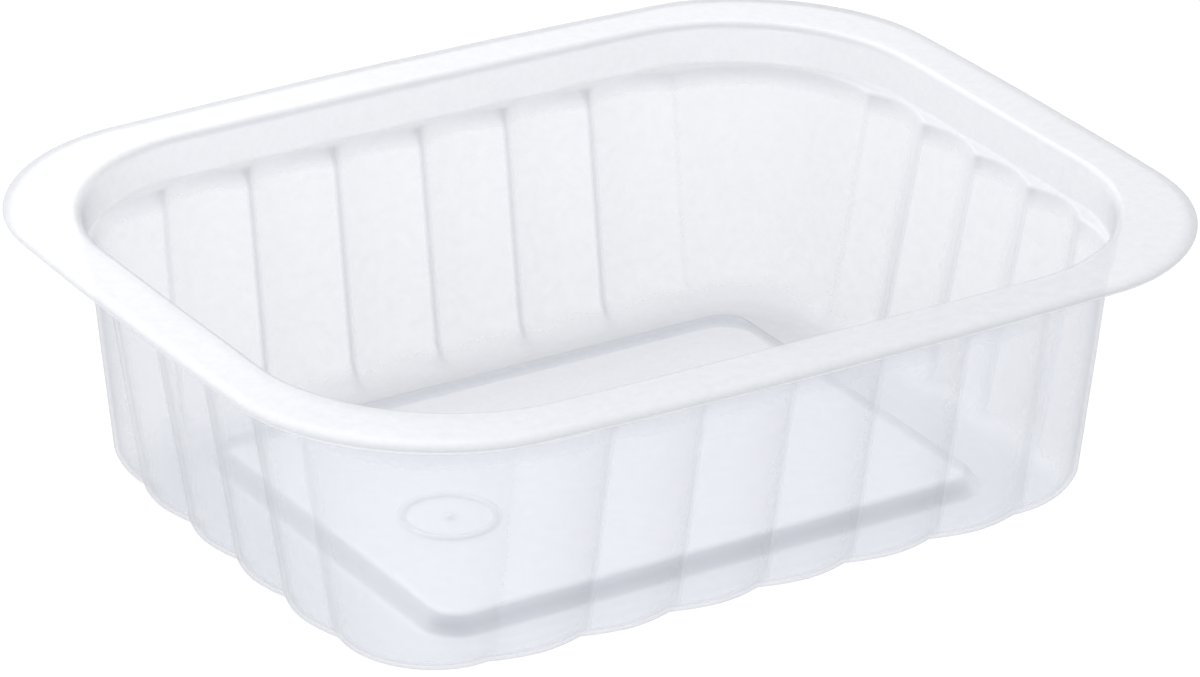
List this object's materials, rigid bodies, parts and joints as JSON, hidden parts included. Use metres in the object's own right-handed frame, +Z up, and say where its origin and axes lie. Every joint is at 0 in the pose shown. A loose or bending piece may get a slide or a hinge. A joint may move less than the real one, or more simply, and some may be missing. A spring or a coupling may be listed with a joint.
{
  "type": "plastic food tray",
  "caption": "Clear thermoformed food tray with fluted walls, a wide sealing flange, a shelf under the rim and a raised floor panel, standing empty on its foot ring.",
  "frame": {"origin": "on the surface the tray stands on, under the middle of the tray", "axes": "+X along the tray's long side, +Y across it, +Z up out of its mouth"},
  "size_m": [0.1856, 0.147, 0.052],
  "materials": {
    "formed_sheet": "natural polypropylene sheet, thermoformed, milky clear with a soft gloss"
  },
  "bodies": {
    "root": {"tray": "formed_sheet"}
  },
  "joints": []
}
